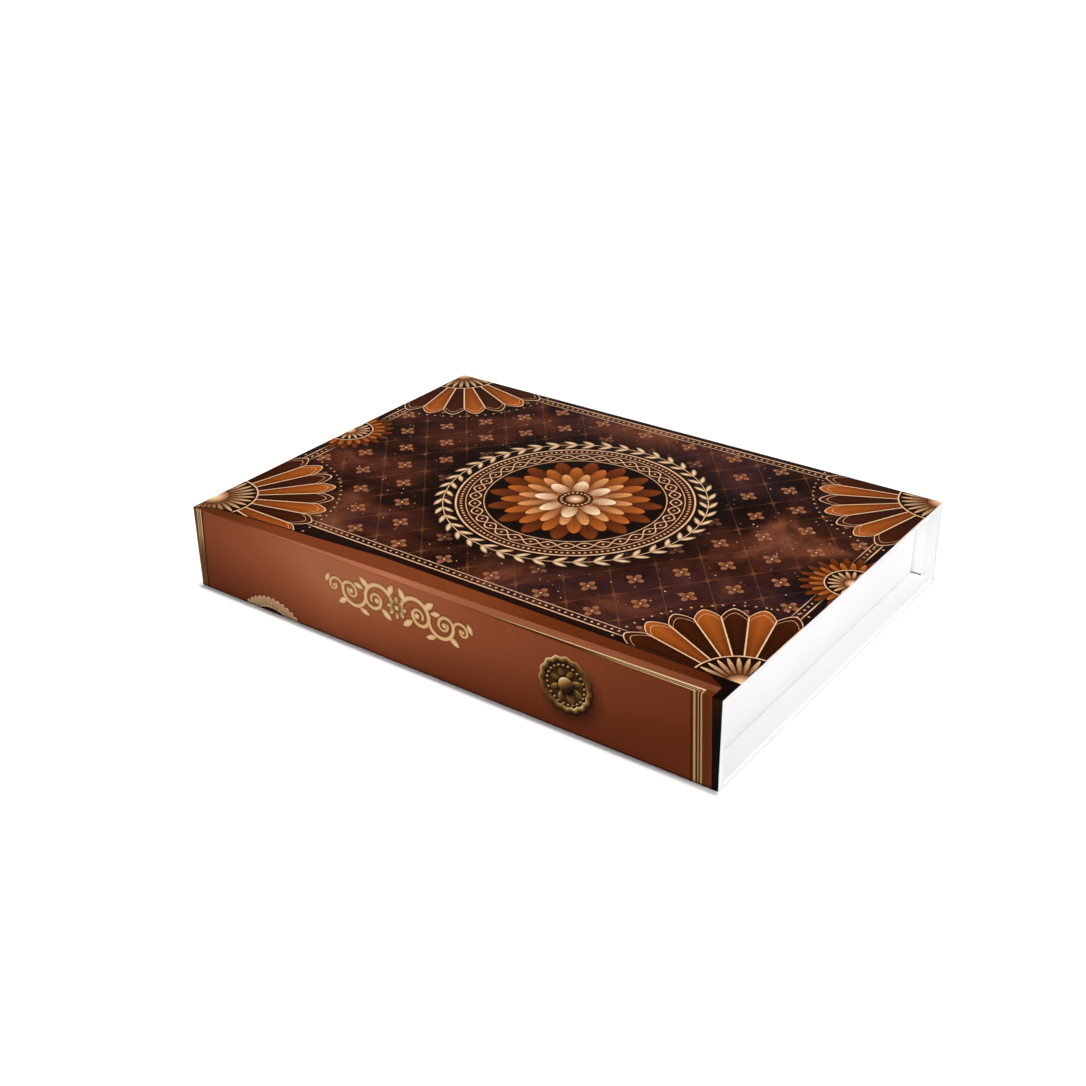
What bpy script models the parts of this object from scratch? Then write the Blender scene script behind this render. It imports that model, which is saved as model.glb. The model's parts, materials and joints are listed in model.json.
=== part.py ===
"""A case-bound presentation box with a magnetic flap, in metres, +Z up.

A cover of four boards folds round a shallow lined tray: base, spine, lid and flap. The boards
are cut with a vee at each fold, and the printed sheet outside them is the hinge, so each joint's
axis is the fold line at the box's outer corner. The flap faces -Y and the spine faces +Y. The
origin is at the middle of the underside. The box is closed.
"""

import math

import bmesh
import bpy
from mathutils import Vector

# Driving dimensions
COVER_LENGTH = 0.350
COVER_DEPTH = 0.250
TRAY_HEIGHT = 0.0445
SIDE_OVERHANG = 0.013
COVER_BOARD = 0.0020
TRAY_BOARD = 0.0020

# Papers, and the paste between two layers
PRINT_SHEET = 0.0003
LINING_SHEET = 0.0003
STAY_SHEET = 0.0002
GLUE_LINE = 0.0003

# Clearances
CLOSING_GAP = 0.0004
LID_GAP = 0.0003
FLOOR_GAP = 0.0004
FOLD_GAP = 0.00006
BUTT_GAP = 0.0003
POCKET_CLEARANCE = 0.0003
CUT_OVERRUN = 0.0010

# Vee at a fold: how far a layer stands back for each unit of its depth under the print
VEE_SLOPE = 1.25
VEE_LEAN = math.hypot(1, VEE_SLOPE)
FOLD_CLOSED = math.radians(-90)

# Paper over an edge
RIM_RADIUS = 0.0008
STAY_FOLD_RADIUS = 0.0002
INNER_CORNER_RADIUS = 0.0003
STAY_ARM = 0.020
STAY_END_GAP = 0.0015

# Magnets in the flap, and the steel plates that they meet
MAGNET_DIAMETER = 0.012
MAGNET_THICKNESS = 0.0012
MAGNET_CHAMFER = 0.0002
MAGNET_FROM_END = 0.052
KEEPER_LENGTH = 0.020
KEEPER_HEIGHT = 0.014
KEEPER_THICKNESS = 0.0010
KEEPER_CORNER = 0.0015

# Facets
CORNER_SEGMENTS = 6
RIM_SEGMENTS = 4
MAGNET_SEGMENTS = 40

# Layers of a cover panel, as depths under its printed face
BOARD_TOP = PRINT_SHEET + GLUE_LINE
BOARD_BACK = BOARD_TOP + COVER_BOARD
LINING_TOP = BOARD_BACK + GLUE_LINE
PANEL = LINING_TOP + LINING_SHEET
EDGE_WRAP = LINING_SHEET + GLUE_LINE

# The box
BOX_HEIGHT = PANEL + GLUE_LINE + TRAY_HEIGHT + LID_GAP + PANEL
BASE_WIDTH = COVER_DEPTH - PANEL - CLOSING_GAP
FLAP_WIDTH = BOX_HEIGHT - FLOOR_GAP
BASE_FRONT = PANEL + CLOSING_GAP - COVER_DEPTH / 2

# The tray, and its wall's layers as insets from its outer face
TRAY_LENGTH = COVER_LENGTH - 2 * SIDE_OVERHANG
TRAY_DEPTH = BASE_WIDTH - PANEL - CLOSING_GAP
TRAY_CENTRE = BASE_FRONT + TRAY_DEPTH / 2
TRAY_BOTTOM = PANEL + GLUE_LINE
TRAY_RIM = TRAY_BOTTOM + TRAY_HEIGHT
STAY_INSET = LINING_SHEET + GLUE_LINE
WALL_INSET = STAY_INSET + STAY_SHEET + GLUE_LINE
WALL_BACK = WALL_INSET + TRAY_BOARD
TURN_IN_INSET = WALL_BACK + GLUE_LINE
TRAY_WALL = TURN_IN_INSET + LINING_SHEET
TRAY_CORNER_RADIUS = STAY_INSET + STAY_SHEET + STAY_FOLD_RADIUS
WALL_TOP = TRAY_RIM - LINING_SHEET - GLUE_LINE
FLOOR_TOP = TRAY_BOTTOM + TRAY_BOARD
LINER_BOTTOM = FLOOR_TOP + GLUE_LINE
CATCH_HEIGHT = TRAY_BOTTOM + TRAY_HEIGHT / 2
CATCH_FROM_CENTRE = TRAY_LENGTH / 2 - MAGNET_FROM_END


def clear_scene():
    for obj in list(bpy.data.objects):
        bpy.data.objects.remove(obj, do_unlink=True)


def material(name, colour, roughness, metallic=0.0):
    made = bpy.data.materials.new(name)
    made.use_nodes = True
    shader = made.node_tree.nodes["Principled BSDF"]
    shader.inputs["Base Color"].default_value = (*colour, 1.0)
    shader.inputs["Roughness"].default_value = roughness
    shader.inputs["Metallic"].default_value = metallic
    return made


def new_object(name, mesh_builder, finish, parent=None):
    mesh = bpy.data.meshes.new(name)
    obj = bpy.data.objects.new(name, mesh)
    bpy.context.scene.collection.objects.link(obj)
    bm = bmesh.new()
    mesh_builder(bm)
    bmesh.ops.recalc_face_normals(bm, faces=bm.faces)
    bm.to_mesh(mesh)
    bm.free()
    if finish:
        mesh.materials.append(finish)
    obj.parent = parent
    return obj


def empty(name, parent, place, turn):
    obj = bpy.data.objects.new(name, None)
    bpy.context.scene.collection.objects.link(obj)
    obj.parent = parent
    obj.location = place
    obj.rotation_euler = turn
    return obj


def extrude_outline(bm, outline, along):
    """A flat outline of 3-D points, drawn out by the vector along."""
    corners = [bm.verts.new(point) for point in outline]
    face = bm.faces.new(corners)
    drawn = bmesh.ops.extrude_face_region(bm, geom=[face])["geom"]
    moved = [part for part in drawn if isinstance(part, bmesh.types.BMVert)]
    bmesh.ops.translate(bm, verts=moved, vec=along)


def block(bm, size):
    bmesh.ops.create_cube(bm, size=1)
    bmesh.ops.scale(bm, vec=size, verts=bm.verts)


def cut(obj, cutter):
    cutter.hide_render = True
    cutter.display_type = "WIRE"
    pocket = obj.modifiers.new(cutter.name, "BOOLEAN")
    pocket.operation = "DIFFERENCE"
    pocket.solver = "EXACT"
    pocket.object = cutter


def round_edges(obj, width, segments):
    bevel = obj.modifiers.new("rounding", "BEVEL")
    bevel.width = width
    bevel.segments = segments
    bevel.limit_method = "ANGLE"
    obj.data.shade_smooth()


def stand_back(depth):
    """How far a layer this deep stops short of the fold line, so that the fold can close."""
    return FOLD_GAP / 2 + VEE_SLOPE * depth


def panel_outline(width, top, back, folds, inset=0.0):
    """A layer's outline across a panel that runs from 0 to width, as (x, y, z) points at x = 0.

    At a fold it follows the vee, and elsewhere it is square; inset is measured square to the edge.
    """
    starts, ends = [], []
    for depth in (top, back):
        square = (inset, inset)
        leaning = (stand_back(depth) + inset * VEE_LEAN,) * 2
        start, end = [vee if folded else edge for folded, vee, edge in zip(folds, leaning, square)]
        starts.append(Vector((0, start, -depth)))
        ends.append(Vector((0, width - end, -depth)))
    return starts + ends[::-1]


def layer(name, outline, length, finish, parent):
    """A sheet or board of this outline, drawn out along the fold and centred on it."""
    start = Vector((-length / 2, 0, 0))
    points = [start + point for point in outline]
    return new_object(
        name,
        lambda bm: extrude_outline(bm, points, Vector((length, 0, 0))),
        finish,
        parent,
    )


def panel(name, hinge, width, folds, print_finish):
    """The print, the board and the lining of one cover panel.

    The lining is a shallow pan: it turns over the free edges and runs down the sides of each vee.
    """
    sheet = panel_outline(width, 0, PRINT_SHEET, folds)
    core = panel_outline(width, BOARD_TOP, BOARD_BACK, folds, EDGE_WRAP)
    pan = panel_outline(width, BOARD_TOP, PANEL, folds)
    room = panel_outline(width, -CUT_OVERRUN, LINING_TOP, folds, LINING_SHEET)
    room_length = COVER_LENGTH - 2 * LINING_SHEET

    layer(name + "_print", sheet, COVER_LENGTH, print_finish, hinge)
    board = layer(name + "_board", core, COVER_LENGTH - 2 * EDGE_WRAP, GREY_BOARD, hinge)
    lining = layer(name + "_lining", pan, COVER_LENGTH, WHITE_PAPER, hinge)
    cut(lining, layer(name + "_lining_room", room, room_length, None, hinge))
    return board


def case():
    """The four cover panels, on a chain of empties at the fold lines."""
    base = empty("case_base", None, (0, BASE_FRONT, 0), (0, math.pi, 0))
    spine = empty("spine_hinge", base, (0, BASE_WIDTH, 0), (FOLD_CLOSED, 0, 0))
    lid = empty("lid_hinge", spine, (0, BOX_HEIGHT, 0), (FOLD_CLOSED, 0, 0))
    flap = empty("flap_hinge", lid, (0, COVER_DEPTH, 0), (FOLD_CLOSED, 0, 0))
    panel("base", base, BASE_WIDTH, (False, True), BASE_PRINT)
    panel("spine", spine, BOX_HEIGHT, (True, True), SPINE_PRINT)
    panel("lid", lid, COVER_DEPTH, (True, True), LID_PRINT)
    board = panel("flap", flap, FLAP_WIDTH, (True, False), FLAP_PRINT)
    flap_magnets(board, flap)


def disc(bm, diameter, thickness):
    bmesh.ops.create_cone(
        bm,
        cap_ends=True,
        segments=MAGNET_SEGMENTS,
        radius1=diameter / 2,
        radius2=diameter / 2,
        depth=thickness,
    )


def flap_magnets(board, hinge):
    """Two discs let into the back of the flap's board, under the lining."""
    across = BOX_HEIGHT - CATCH_HEIGHT
    pocket_depth = MAGNET_THICKNESS + POCKET_CLEARANCE
    for side, turn in (("left", 1), ("right", -1)):
        along = turn * CATCH_FROM_CENTRE
        magnet = new_object(
            "flap_magnet_" + side,
            lambda bm: disc(bm, MAGNET_DIAMETER, MAGNET_THICKNESS),
            NICKEL,
            hinge,
        )
        magnet.location = (along, across, MAGNET_THICKNESS / 2 - BOARD_BACK)
        round_edges(magnet, MAGNET_CHAMFER, 1)
        magnet.data.set_sharp_from_angle(angle=math.radians(30))
        pocket = new_object(
            "flap_pocket_" + side,
            lambda bm: disc(bm, MAGNET_DIAMETER + 2 * POCKET_CLEARANCE, pocket_depth + CUT_OVERRUN),
            None,
            hinge,
        )
        pocket.location = (along, across, (pocket_depth - CUT_OVERRUN) / 2 - BOARD_BACK)
        cut(board, pocket)


def tray_piece(name, size, centre, finish):
    obj = new_object(name, lambda bm: block(bm, size), finish)
    obj.location = centre
    return obj


def tray_boards():
    """The floor and four walls of the tray. The long walls run past the ends of the short ones."""
    long_wall = TRAY_LENGTH - 2 * WALL_INSET
    short_wall = TRAY_DEPTH - 2 * WALL_BACK - 2 * BUTT_GAP
    height = WALL_TOP - TRAY_BOTTOM
    middle = TRAY_BOTTOM + height / 2
    from_centre = TRAY_DEPTH / 2 - WALL_INSET - TRAY_BOARD / 2
    from_side = TRAY_LENGTH / 2 - WALL_INSET - TRAY_BOARD / 2
    floor_length = TRAY_LENGTH - 2 * WALL_BACK - 2 * BUTT_GAP
    floor_middle = TRAY_BOTTOM + TRAY_BOARD / 2

    tray_piece(
        "tray_floor",
        (floor_length, short_wall, TRAY_BOARD),
        (0, TRAY_CENTRE, floor_middle),
        GREY_BOARD,
    )
    for side, turn in (("front", -1), ("back", 1)):
        wall = tray_piece(
            "tray_" + side + "_wall",
            (long_wall, TRAY_BOARD, height),
            (0, TRAY_CENTRE + turn * from_centre, middle),
            GREY_BOARD,
        )
        if side == "front":
            tray_keepers(wall)
    for side, turn in (("left", -1), ("right", 1)):
        tray_piece(
            "tray_" + side + "_wall",
            (TRAY_BOARD, short_wall, height),
            (turn * from_side, TRAY_CENTRE, middle),
            GREY_BOARD,
        )


def plate(bm, length, height, thickness, corner):
    """A plate that faces -Y, with its four corners rounded."""
    block(bm, (length, thickness, height))
    through = [edge for edge in bm.edges if abs(edge.verts[0].co.y - edge.verts[1].co.y) > thickness / 2]
    bmesh.ops.bevel(
        bm,
        geom=through,
        offset=corner,
        segments=CORNER_SEGMENTS,
        profile=0.5,
        affect="EDGES",
        material=-1,
    )


def tray_keepers(wall):
    """Two steel plates let into the outer face of the front wall, where the flap's magnets come."""
    face = BASE_FRONT + WALL_INSET
    pocket_depth = KEEPER_THICKNESS + POCKET_CLEARANCE
    room = 2 * POCKET_CLEARANCE
    for side, turn in (("left", -1), ("right", 1)):
        along = turn * CATCH_FROM_CENTRE
        keeper = new_object(
            "tray_keeper_" + side,
            lambda bm: plate(bm, KEEPER_LENGTH, KEEPER_HEIGHT, KEEPER_THICKNESS, KEEPER_CORNER),
            STEEL,
        )
        keeper.location = (along, face + KEEPER_THICKNESS / 2, CATCH_HEIGHT)
        pocket = new_object(
            "keeper_pocket_" + side,
            lambda bm: plate(
                bm,
                KEEPER_LENGTH + room,
                KEEPER_HEIGHT + room,
                pocket_depth + CUT_OVERRUN,
                KEEPER_CORNER + POCKET_CLEARANCE,
            ),
            None,
        )
        pocket.location = (along, face + (pocket_depth - CUT_OVERRUN) / 2, CATCH_HEIGHT)
        cut(wall, pocket)


def corner_arc(inset, turn_x, turn_y):
    """Points round one corner of the tray's plan, this far in from its outer face."""
    radius = max(TRAY_CORNER_RADIUS - inset, INNER_CORNER_RADIUS)
    centre_x = TRAY_LENGTH / 2 - inset - radius
    centre_y = TRAY_DEPTH / 2 - inset - radius
    points = []
    for step in range(CORNER_SEGMENTS + 1):
        angle = math.radians(90) * step / CORNER_SEGMENTS
        x = centre_x + radius * math.cos(angle)
        y = centre_y + radius * math.sin(angle)
        points.append((turn_x * x, turn_y * y))
    return points


def plan_loop(inset):
    """The tray's plan with rounded corners, anticlockwise from the right-hand side."""
    loop = corner_arc(inset, 1, 1)
    loop += corner_arc(inset, -1, 1)[::-1]
    loop += corner_arc(inset, -1, -1)
    loop += corner_arc(inset, 1, -1)[::-1]
    return loop


def rim_arc(inset, turn):
    """Points over one edge of the rim, from outside to inside, as (inset, height)."""
    points = []
    for step in range(RIM_SEGMENTS + 1):
        angle = math.radians(90) * step / RIM_SEGMENTS
        across = RIM_RADIUS * (1 - math.cos(angle))
        up = RIM_RADIUS * math.sin(angle) - RIM_RADIUS
        points.append((inset + turn * across, TRAY_RIM + up))
    return points if turn > 0 else points[::-1]


def wrap_section():
    """The wrap's cut face, up the outside, over the rim and down the inside, and back."""
    section = [(0, TRAY_BOTTOM)]
    section += rim_arc(0, 1)
    section += rim_arc(TRAY_WALL, -1)
    section += [
        (TRAY_WALL, LINER_BOTTOM),
        (TURN_IN_INSET, LINER_BOTTOM),
        (TURN_IN_INSET, TRAY_RIM - LINING_SHEET),
        (LINING_SHEET, TRAY_RIM - LINING_SHEET),
        (LINING_SHEET, TRAY_BOTTOM),
    ]
    return section


def tray_wrap_mesh(bm):
    """The section drawn round the tray: a ring of points for each point of it, and faces between rings."""
    rings = []
    for inset, height in wrap_section():
        rings.append([bm.verts.new((x, y, height)) for x, y in plan_loop(inset)])
    for ring, inner in zip(rings, rings[1:] + rings[:1]):
        sides = zip(ring, ring[1:] + ring[:1], inner[1:] + inner[:1], inner)
        for corners in sides:
            bm.faces.new(corners)


def stay_outline(turn_x, turn_y):
    """A paper stay bent round one corner of the tray's boards, seen from above."""
    outer = corner_arc(STAY_INSET, turn_x, turn_y)
    inner = corner_arc(STAY_INSET + STAY_SHEET, turn_x, turn_y)[::-1]
    reach_x = turn_x * (TRAY_LENGTH / 2 - STAY_INSET - STAY_ARM)
    reach_y = turn_y * (TRAY_DEPTH / 2 - STAY_INSET - STAY_ARM)
    outline = [(outer[0][0], reach_y)] + outer + [(reach_x, outer[-1][1])]
    outline += [(reach_x, inner[0][1])] + inner + [(inner[-1][0], reach_y)]
    return outline


def tray_papers():
    """The wrap, the liner on the floor and a stay round each corner."""
    wrap = new_object("tray_wrap", tray_wrap_mesh, WHITE_PAPER)
    wrap.location = (0, TRAY_CENTRE, 0)
    wrap.data.shade_smooth()
    wrap.data.set_sharp_from_angle(angle=math.radians(40))

    tray_piece(
        "tray_floor_liner",
        (
            TRAY_LENGTH - 2 * TRAY_WALL - 2 * BUTT_GAP,
            TRAY_DEPTH - 2 * TRAY_WALL - 2 * BUTT_GAP,
            LINING_SHEET,
        ),
        (0, TRAY_CENTRE, LINER_BOTTOM + LINING_SHEET / 2),
        WHITE_PAPER,
    )

    bottom = TRAY_BOTTOM + STAY_END_GAP
    height = WALL_TOP - STAY_END_GAP - bottom
    for end, turn_y in (("front", -1), ("back", 1)):
        for side, turn_x in (("left", -1), ("right", 1)):
            outline = [Vector((x, y, bottom)) for x, y in stay_outline(turn_x, turn_y)]
            stay = new_object(
                "tray_stay_" + end + "_" + side,
                lambda bm: extrude_outline(bm, outline, Vector((0, 0, height))),
                KRAFT_PAPER,
            )
            stay.location = (0, TRAY_CENTRE, 0)


clear_scene()
LID_PRINT = material("lid_print", (0.055, 0.026, 0.022), 0.35)
FLAP_PRINT = material("flap_print", (0.165, 0.048, 0.020), 0.35)
SPINE_PRINT = material("spine_print", (0.085, 0.026, 0.012), 0.35)
BASE_PRINT = material("base_print", (0.085, 0.026, 0.012), 0.40)
WHITE_PAPER = material("white_paper", (0.86, 0.86, 0.87), 0.65)
GREY_BOARD = material("grey_board", (0.42, 0.39, 0.35), 0.90)
KRAFT_PAPER = material("kraft_paper", (0.42, 0.29, 0.17), 0.85)
NICKEL = material("nickel", (0.72, 0.70, 0.66), 0.25, 1.0)
STEEL = material("steel", (0.56, 0.57, 0.58), 0.35, 1.0)

case()
tray_boards()
tray_papers()
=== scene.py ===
"""Looks of the flat presentation box: printed cover, white paper lining and a plain white studio."""

import json
import math

import bmesh
import bpy
from mathutils import Matrix, Vector


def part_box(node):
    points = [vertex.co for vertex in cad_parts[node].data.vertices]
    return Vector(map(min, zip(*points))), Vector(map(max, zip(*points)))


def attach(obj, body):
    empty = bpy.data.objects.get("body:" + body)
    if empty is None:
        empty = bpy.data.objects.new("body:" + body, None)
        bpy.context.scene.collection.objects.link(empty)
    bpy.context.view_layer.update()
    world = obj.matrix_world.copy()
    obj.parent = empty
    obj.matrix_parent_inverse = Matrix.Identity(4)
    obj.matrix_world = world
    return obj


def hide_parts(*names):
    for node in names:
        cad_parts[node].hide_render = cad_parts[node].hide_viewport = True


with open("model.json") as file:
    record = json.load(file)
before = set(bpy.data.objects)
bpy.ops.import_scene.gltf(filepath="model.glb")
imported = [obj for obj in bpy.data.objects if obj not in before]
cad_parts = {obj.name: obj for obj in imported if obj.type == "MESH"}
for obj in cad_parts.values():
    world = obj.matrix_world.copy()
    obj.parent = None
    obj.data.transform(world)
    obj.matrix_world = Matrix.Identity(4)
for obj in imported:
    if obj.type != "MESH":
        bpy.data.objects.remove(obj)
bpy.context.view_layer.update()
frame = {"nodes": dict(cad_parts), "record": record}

# Places read from the frame, in metres
LID_LOW, LID_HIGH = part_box("lid_print")
FLAP_LOW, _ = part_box("flap_print")
BASE_LOW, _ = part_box("base_print")
TRAY_LOW, TRAY_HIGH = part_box("tray_wrap")
WALL_LOW, WALL_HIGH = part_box("tray_right_wall")
_, LINER_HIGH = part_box("tray_floor_liner")
MAGNET_LOW, MAGNET_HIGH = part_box("flap_magnet_right")
SPINE_LOW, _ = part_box("spine_lining")
_, LEDGE_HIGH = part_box("base_lining")
HALF_LENGTH = LID_HIGH.x
FRONT = LID_LOW.y
BACK = LID_HIGH.y
TOP = LID_HIGH.z
GROUND = BASE_LOW.z
MAGNET_X = (MAGNET_LOW.x + MAGNET_HIGH.x) / 2
MAGNET_Z = (MAGNET_LOW.z + MAGNET_HIGH.z) / 2
MAGNET_RADIUS = (MAGNET_HIGH.x - MAGNET_LOW.x) / 2

# The photograph's camera
PHOTO_PIXELS = 1086
FOCAL_PIXELS = 1533.4
SENSOR_WIDTH = 36.0
CAMERA_PLACE = Vector((0.4559, -0.6438, 0.4414))
CAMERA_AZIMUTH = math.radians(36.3228)
CAMERA_ELEVATION = math.radians(27.7372)
CAMERA_ROLL = math.radians(-0.7173)

# The floor, and the soft light from all round
FLOOR_RADIUS = 20.0
FLOOR_GAP = 0.0001
AMBIENT = 0.34

# The cover sheet: its thickness, and its rounding at a crease
COVER_SHEET = 0.0003
CREASE_RADIUS = 0.0006
CREASE_STEPS = 6
CREASE_GAP = 0.00006
FOLD_FACING = 0.4

# The overlap of the tray's wrap, near its rear right corner
LAP_WIDTH = 0.0060
LAP_FROM_CORNER = 0.0006
LAP_PAPER = 0.00013
LAP_GLUE = 0.00002

# The strip pasted on the spine behind the tray, and the crease beside it
STRIP_PAST_TRAY = 0.0065
STRIP_FROM_CREASE = 0.0002
VEE_EDGE = 0.00403

# The panel's upper edge on the lid: its full depth, and its drop towards the left end
FOLD_BAND = 0.0167
BAND_LEFT_RISE = 0.0055
BAND_SLOPES = (0.54, 0.085)
BAND_LINE = 0.0010

# Where the panel's brown is lightest, and how far from there it darkens
LIGHTEST_X = -0.070
DARKENS_LEFT = 0.180
DARKENS_RIGHT = 0.300
DARKENS_DOWN = 0.061

# The gilt moulding: its edges, its lines from outside inwards, and where they fade
FRAME_RIGHT = 0.1644
FRAME_LEFT = -0.1725
FRAME_TOP_RIGHT = 0.0045
FRAME_TOP_LEFT = 0.0003
FRAME_TOP_SLOPE = 0.0283
FRAME_TOP_BELOW = 0.0004
FRAME_TOP_BEVEL = 1.5
FRAME_SPREAD_RIGHT = 0.037
FRAME_SPREAD_LEFT = 0.041
FRAME_SHARE_LEFT = 0.75
OUTER_GILT = (0.0000, 0.0013)
MIDDLE_GILT = (0.0020, 0.0027)
INNER_GILT = (0.0035, 0.0053)
INNER_SHADE = (0.0054, 0.0064)
LEFT_SHADE = (0.0054, 0.0067)
GILT_FADE = (0.028, 0.062)
INNER_FADE = (0.090, 0.125)
LEFT_SHINE = (-0.034, -0.014)

# The bevelled rail round the moulding
RAIL_KNEE = (-0.0320, 0.0050)
RAIL_SLOPES = (0.0370, 0.0225)
RAIL_NARROWEST = 0.0010
RAIL_LINE = 0.0005
RAIL_BLUR = 0.0004
END_BAND = 0.0050
END_LINE = (-0.0052, -0.0046)
END_LINE_BLUR = 0.0004
MITRE_CORNER = (0.1692, 0.0097)
MITRE_SLOPE = 1.71
MITRE_BLUR = 0.0005
DARKNESS_DEPTH = 0.014

# The lid's ornament
FIELD_MIDDLE = (BACK + FRONT + FOLD_BAND) / 2
FIELD_HALF = (BACK - FRONT - FOLD_BAND) / 2
MEDALLION_RADIUS = 0.084
FAN_RADIUS = 0.070
FAN_BLADES = 7
FAN_SCALLOP = 0.008
FAN_HEART = 0.0250
SIDE_ROSETTE = 0.028
SIDE_HEART = 0.0145
LATTICE_WIDTH = 0.032
LATTICE_DEPTH = 0.040
FLORET_REACH = 0.0052

# The flap's ornament: a scroll, a cast boss beside it and a low shell
SCROLL_X = -0.022
SCROLL_Z = 0.0350
BOSS_X = 0.0875
BOSS_Z = 0.0270
BOSS_RADIUS = 0.0165
BOSS_RIM = 0.0022
BOSS_BEAD_RING = 0.0112
BOSS_BEADS = 24
BOSS_BEAD = 0.0010
BOSS_HUB = 0.0048
SHELL_X = -0.1180
SHELL_RADIUS = 0.0290
SHELL_SUNK = 0.0195
SHELL_FLUTES = 24
SHELL_SCALLOP = 0.0016
SHELL_HEART = 0.0030
RELIEF_LIGHT = math.radians(125)

# Softness of a printed edge
PRINT_BLUR = 0.00014

# Where a Mix node keeps its two colours, and the mixed one
MIX_FIRST, MIX_SECOND, MIX_RESULT = 6, 7, 2


def ink(red, green, blue):
    """A screen colour from 0 to 255 as the linear colour that shaders take."""
    return tuple(
        share / 12.92 if share <= 0.04045 else ((share + 0.055) / 1.055) ** 2.4
        for share in (red / 255, green / 255, blue / 255)
    ) + (1.0,)


BLACK_BROWN = ink(16, 7, 4)
GILT_TONES = (
    (0.00, ink(52, 26, 12)),
    (0.30, ink(98, 56, 28)),
    (0.58, ink(180, 128, 88)),
    (0.85, ink(240, 206, 164)),
    (1.00, ink(255, 243, 224)),
)
DULL_GILT_TONES = (
    (0.00, ink(74, 42, 16)),
    (0.40, ink(116, 80, 42)),
    (0.75, ink(154, 116, 70)),
    (1.00, ink(214, 178, 134)),
)
SCROLL_TONES = (
    (0.00, ink(120, 78, 40)),
    (0.40, ink(196, 152, 100)),
    (0.80, ink(220, 180, 126)),
    (1.00, ink(240, 208, 160)),
)
BRASS_TONES = (
    (0.00, ink(10, 5, 2)),
    (0.34, ink(48, 29, 11)),
    (0.58, ink(112, 78, 36)),
    (0.80, ink(190, 150, 88)),
    (1.00, ink(255, 240, 204)),
)
PANEL_TONES = (
    (0.00, ink(166, 98, 64)),
    (0.28, ink(143, 74, 44)),
    (0.62, ink(116, 56, 29)),
    (0.85, ink(101, 45, 20)),
    (1.00, ink(95, 41, 17)),
)
RAIL_TONES = (
    (0.06, ink(96, 44, 20)),
    (0.17, ink(150, 84, 58)),
    (0.43, ink(168, 103, 72)),
    (0.57, ink(142, 83, 52)),
    (0.83, ink(135, 74, 46)),
    (0.97, ink(116, 63, 38)),
)
DEEP_TONES = (
    (0.06, ink(86, 39, 13)),
    (0.17, ink(116, 54, 27)),
    (0.57, ink(120, 58, 26)),
    (0.68, ink(99, 44, 15)),
    (0.90, ink(88, 37, 12)),
    (0.97, ink(72, 26, 6)),
)
END_TONES = (
    (0.00, ink(87, 46, 12)),
    (0.55, ink(94, 42, 15)),
    (1.00, ink(110, 46, 18)),
)


class Amount:
    """A number worked out at each point of a surface. Each sign adds a Math node.

    Of two numbers, & gives the smaller and | the larger. On masks they mean and, or.
    """

    def __init__(self, tree, socket):
        self.tree = tree
        self.socket = socket

    def math(self, operation, *others, clamp=False):
        node = self.tree.nodes.new("ShaderNodeMath")
        node.operation = operation
        node.use_clamp = clamp
        for place, item in zip(node.inputs, (self, *others)):
            if isinstance(item, Amount):
                self.tree.links.new(item.socket, place)
            else:
                place.default_value = item
        return Amount(self.tree, node.outputs[0])

    def __add__(self, other):
        return self.math("ADD", other)

    def __sub__(self, other):
        return self.math("SUBTRACT", other)

    def __rsub__(self, other):
        return (self * -1.0) + other

    def __mul__(self, other):
        return self.math("MULTIPLY", other)

    def __truediv__(self, other):
        return self.math("DIVIDE", other)

    def __neg__(self):
        return self.math("MULTIPLY", -1.0)

    def __abs__(self):
        return self.math("ABSOLUTE")

    def __or__(self, other):
        return self.math("MAXIMUM", other)

    def __and__(self, other):
        return self.math("MINIMUM", other)

    __radd__ = __add__
    __rmul__ = __mul__

    def limited(self):
        return self.math("ADD", 0.0, clamp=True)

    def root(self):
        return self.math("SQRT")

    def power(self, exponent):
        return self.math("POWER", exponent)

    def fraction(self):
        return self.math("FRACT")

    def whole(self):
        return self.math("FLOOR")

    def sine(self):
        return self.math("SINE")

    def cosine(self):
        return self.math("COSINE")


def span(across, along):
    """Distance of a point from the origin of two coordinates."""
    return (across * across + along * along).root()


def bearing(across, along):
    """Angle of a point round the origin of two coordinates."""
    return along.math("ARCTAN2", across)


def within(distance, blur=PRINT_BLUR):
    """1 where the distance is negative, 0 where it is positive, with one soft edge."""
    return distance.math("MULTIPLY_ADD", -1.0 / blur, 0.5, clamp=True)


def stripe(distance, width, blur=PRINT_BLUR):
    """A line of that width along distance zero."""
    return within(abs(distance) - width / 2, blur)


def between(distance, limits, blur=PRINT_BLUR):
    """1 where the distance lies between two limits."""
    low, high = limits
    return stripe(distance - (low + high) / 2, high - low, blur)


def ramp(amount, low, high):
    """0 below low and 1 above high, smooth between them."""
    node = amount.tree.nodes.new("ShaderNodeMapRange")
    node.interpolation_type = "SMOOTHSTEP"
    node.inputs["From Min"].default_value = low
    node.inputs["From Max"].default_value = high
    amount.tree.links.new(amount.socket, node.inputs["Value"])
    return Amount(amount.tree, node.outputs["Result"])


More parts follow.
